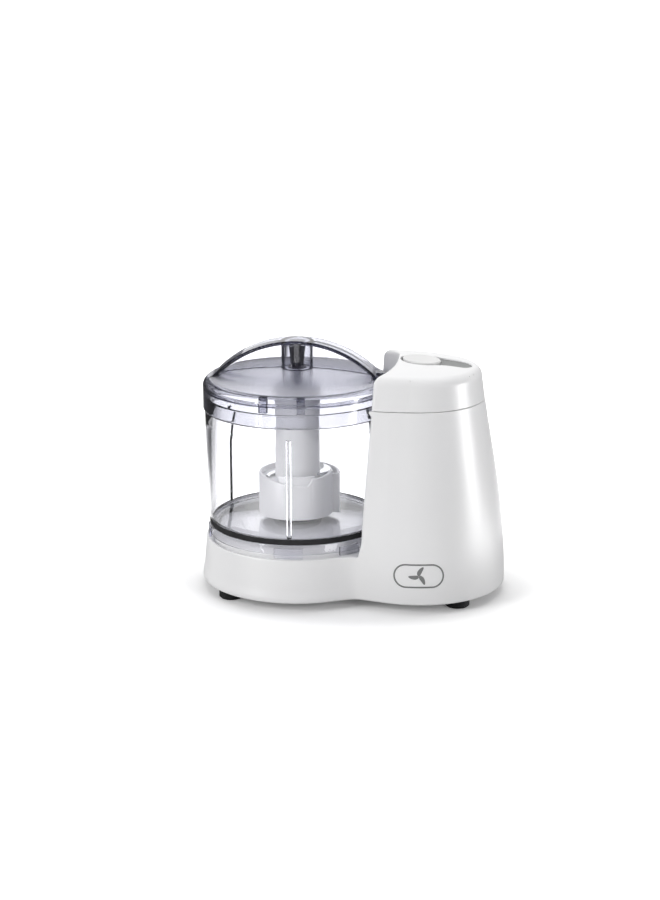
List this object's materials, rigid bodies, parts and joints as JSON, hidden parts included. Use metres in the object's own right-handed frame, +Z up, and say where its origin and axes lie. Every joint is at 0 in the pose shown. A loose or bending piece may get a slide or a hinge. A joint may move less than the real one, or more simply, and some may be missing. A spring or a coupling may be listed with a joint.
{
  "type": "food processor",
  "caption": "Small food processor: clear bowl with an arched lid on a belt-driven white base, spiral-guarded chopping blades, and a motor tower with a pulse button.",
  "frame": {"origin": "under the middle of the footprint, on the surface that the feet stand on", "axes": "+Z up, +X from the bowl towards the motor tower, -Y towards the front with the badge"},
  "size_m": [0.203, 0.1282, 0.1673],
  "materials": {
    "white_plastic": "satin moulded",
    "clear_plastic": "clear moulded plastic",
    "grey_trim": "satin",
    "dark_plastic": "satin",
    "yellow_plastic": "satin",
    "wire_sleeve": "satin",
    "black_rubber": "matt",
    "steel": "plain",
    "blade_steel": "ground edge",
    "bronze": "sintered",
    "copper": "enamelled"
  },
  "bodies": {
    "root": {"main_housing": "white_plastic", "bottom_cover": "white_plastic", "top_cap": "white_plastic", "control_inlay": "grey_trim", "badge_plate": "grey_trim", "rubber_feet": "black_rubber", "cover_screws": "steel", "cord_gland": "black_rubber", "motor_chassis": "dark_plastic", "motor_grommets": "black_rubber", "motor_brackets": "steel", "motor_bolts": "steel", "motor_bearings": "bronze", "stator_core": "steel", "field_coils": "copper", "brush_holders": "bronze", "carbon_brushes": "dark_plastic", "drive_belt": "black_rubber", "spindle_bearing": "bronze", "pulse_switch": "dark_plastic", "switch_bracket": "white_plastic", "interlock_switch": "dark_plastic", "capacitor": "yellow_plastic", "terminal_block": "white_plastic", "inner_wires": "wire_sleeve", "button_spring": "steel"},
    "button": {"pulse_button": "white_plastic"},
    "rotor": {"rotor_shaft": "steel", "armature_core": "steel", "armature_windings": "copper", "commutator": "copper", "cooling_fan": "dark_plastic", "motor_pulley": "bronze"},
    "spindle": {"drive_spindle": "steel", "spindle_pulley": "dark_plastic", "spindle_circlip": "steel"},
    "bowl": {"bowl": "clear_plastic", "bowl_gasket": "black_rubber"},
    "blade": {"blade_hub": "white_plastic", "blade_guard": "white_plastic", "chopping_blades": "blade_steel", "hub_collar": "dark_plastic"},
    "lid": {"lid": "clear_plastic", "lid_pivot": "dark_plastic"}
  },
  "joints": [
    {"name": "button_press", "type": "slide", "parent": "root", "child": "button", "axis": [-0.0802, 0, -0.9968], "range_m": [0, 0.0025], "stiffness_N_per_m": 900, "springref_m": -0.002, "deforming": ["button_spring"]},
    {"name": "spindle_spin", "type": "hinge", "parent": "root", "child": "spindle", "pos_m": [-0.0374, 0, 0.03], "axis": [0, 0, 1], "continuous": true},
    {"name": "rotor_spin", "type": "hinge", "parent": "root", "child": "rotor", "pos_m": [0.0606, 0, 0.06], "axis": [0, 0, 1], "continuous": true},
    {"name": "bowl_lift", "type": "slide", "parent": "root", "child": "bowl", "axis": [0, 0, 1], "range_m": [0, 0.13]},
    {"name": "blade_spin", "type": "hinge", "parent": "bowl", "child": "blade", "pos_m": [-0.0374, 0, 0.06], "axis": [0, 0, 1], "continuous": true},
    {"name": "lid_lift", "type": "slide", "parent": "bowl", "child": "lid", "axis": [0, 0, 1], "range_m": [0, 0.06]}
  ],
  "couplings": [
    {"joint": "rotor_spin", "follows": "spindle_spin", "ratio": 4},
    {"joint": "blade_spin", "follows": "spindle_spin", "ratio": 1}
  ]
}
